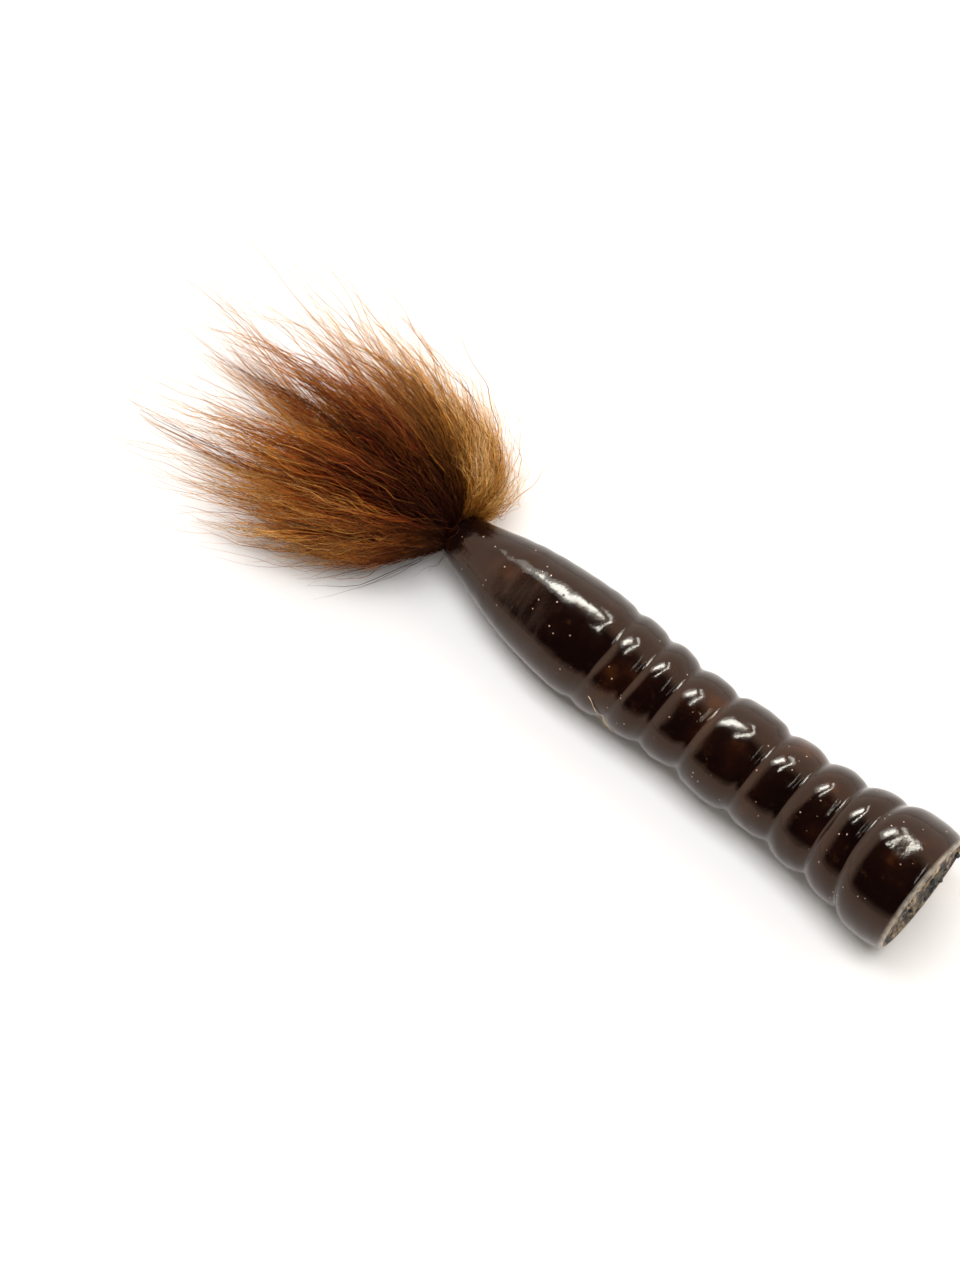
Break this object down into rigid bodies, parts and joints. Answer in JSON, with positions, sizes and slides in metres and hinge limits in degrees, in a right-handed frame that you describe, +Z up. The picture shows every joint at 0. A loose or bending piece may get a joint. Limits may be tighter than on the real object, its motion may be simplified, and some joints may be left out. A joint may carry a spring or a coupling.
{
  "type": "calligraphy brush",
  "caption": "Calligraphy brush with a ringed, glazed stoneware handle and a splayed tuft of tail fur that bends at the mouth and springs back.",
  "frame": {"origin": "on the surface the brush lies on, under the middle of its length and width", "axes": "+X along the brush from the tuft to the tail of the handle, +Z up, away from the surface it lies on"},
  "size_m": [0.1742, 0.0568, 0.0259],
  "materials": {
    "stoneware": "rough",
    "glaze": "glossy",
    "grit": "rough",
    "glue": "satin",
    "thread": "matte",
    "resin": "matte",
    "core_hair": "satin",
    "belly_hair": "satin",
    "mantle_hair": "satin"
  },
  "bodies": {
    "handle": {"stoneware_body": "stoneware", "glaze_coat": "glaze", "kiln_grit": "grit", "socket_glue": "glue", "hair_root": "core_hair", "root_thread": "thread", "root_seal": "resin"},
    "tuft_base": {"core_hair_base": "core_hair", "belly_hair_base": "belly_hair", "mantle_hair_base": "mantle_hair"},
    "tuft_tip": {"core_hair_tip": "core_hair", "belly_hair_tip": "belly_hair", "mantle_hair_tip": "mantle_hair"}
  },
  "joints": [
    {"name": "tuft_sway", "type": "hinge", "parent": "handle", "child": "tuft_base", "pos_m": [-0.02312, 0, 0.00975], "axis": [0, 0, 1], "range_deg": [-25, 25], "stiffness_Nm_per_rad": 0.02},
    {"name": "tuft_lift", "type": "hinge", "parent": "tuft_base", "child": "tuft_tip", "pos_m": [-0.02312, 0, 0.00975], "axis": [0, 1, 0], "range_deg": [0, 35], "stiffness_Nm_per_rad": 0.02}
  ]
}
